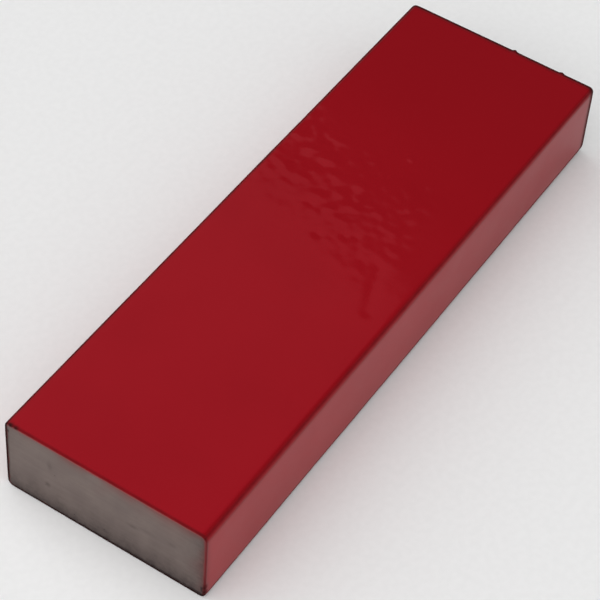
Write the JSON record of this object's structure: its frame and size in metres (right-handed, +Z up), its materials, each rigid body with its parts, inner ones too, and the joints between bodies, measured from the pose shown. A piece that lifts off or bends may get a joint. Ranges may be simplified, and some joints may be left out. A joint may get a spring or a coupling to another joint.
{
  "type": "bar magnet",
  "caption": "Rectangular bar magnet with gloss red lacquer on its long sides and bare ground pole faces.",
  "frame": {"origin": "middle of the underside, over the lacquer", "axes": "+X along the magnetised length, from one pole face towards the other; +Y across the width; +Z up through the thickness"},
  "size_m": [0.08, 0.0252, 0.0104],
  "materials": {
    "cast_alloy": "satin",
    "red_lacquer": "gloss"
  },
  "bodies": {
    "root": {"magnet_core": "cast_alloy", "lacquer_coat": "red_lacquer"}
  },
  "joints": []
}
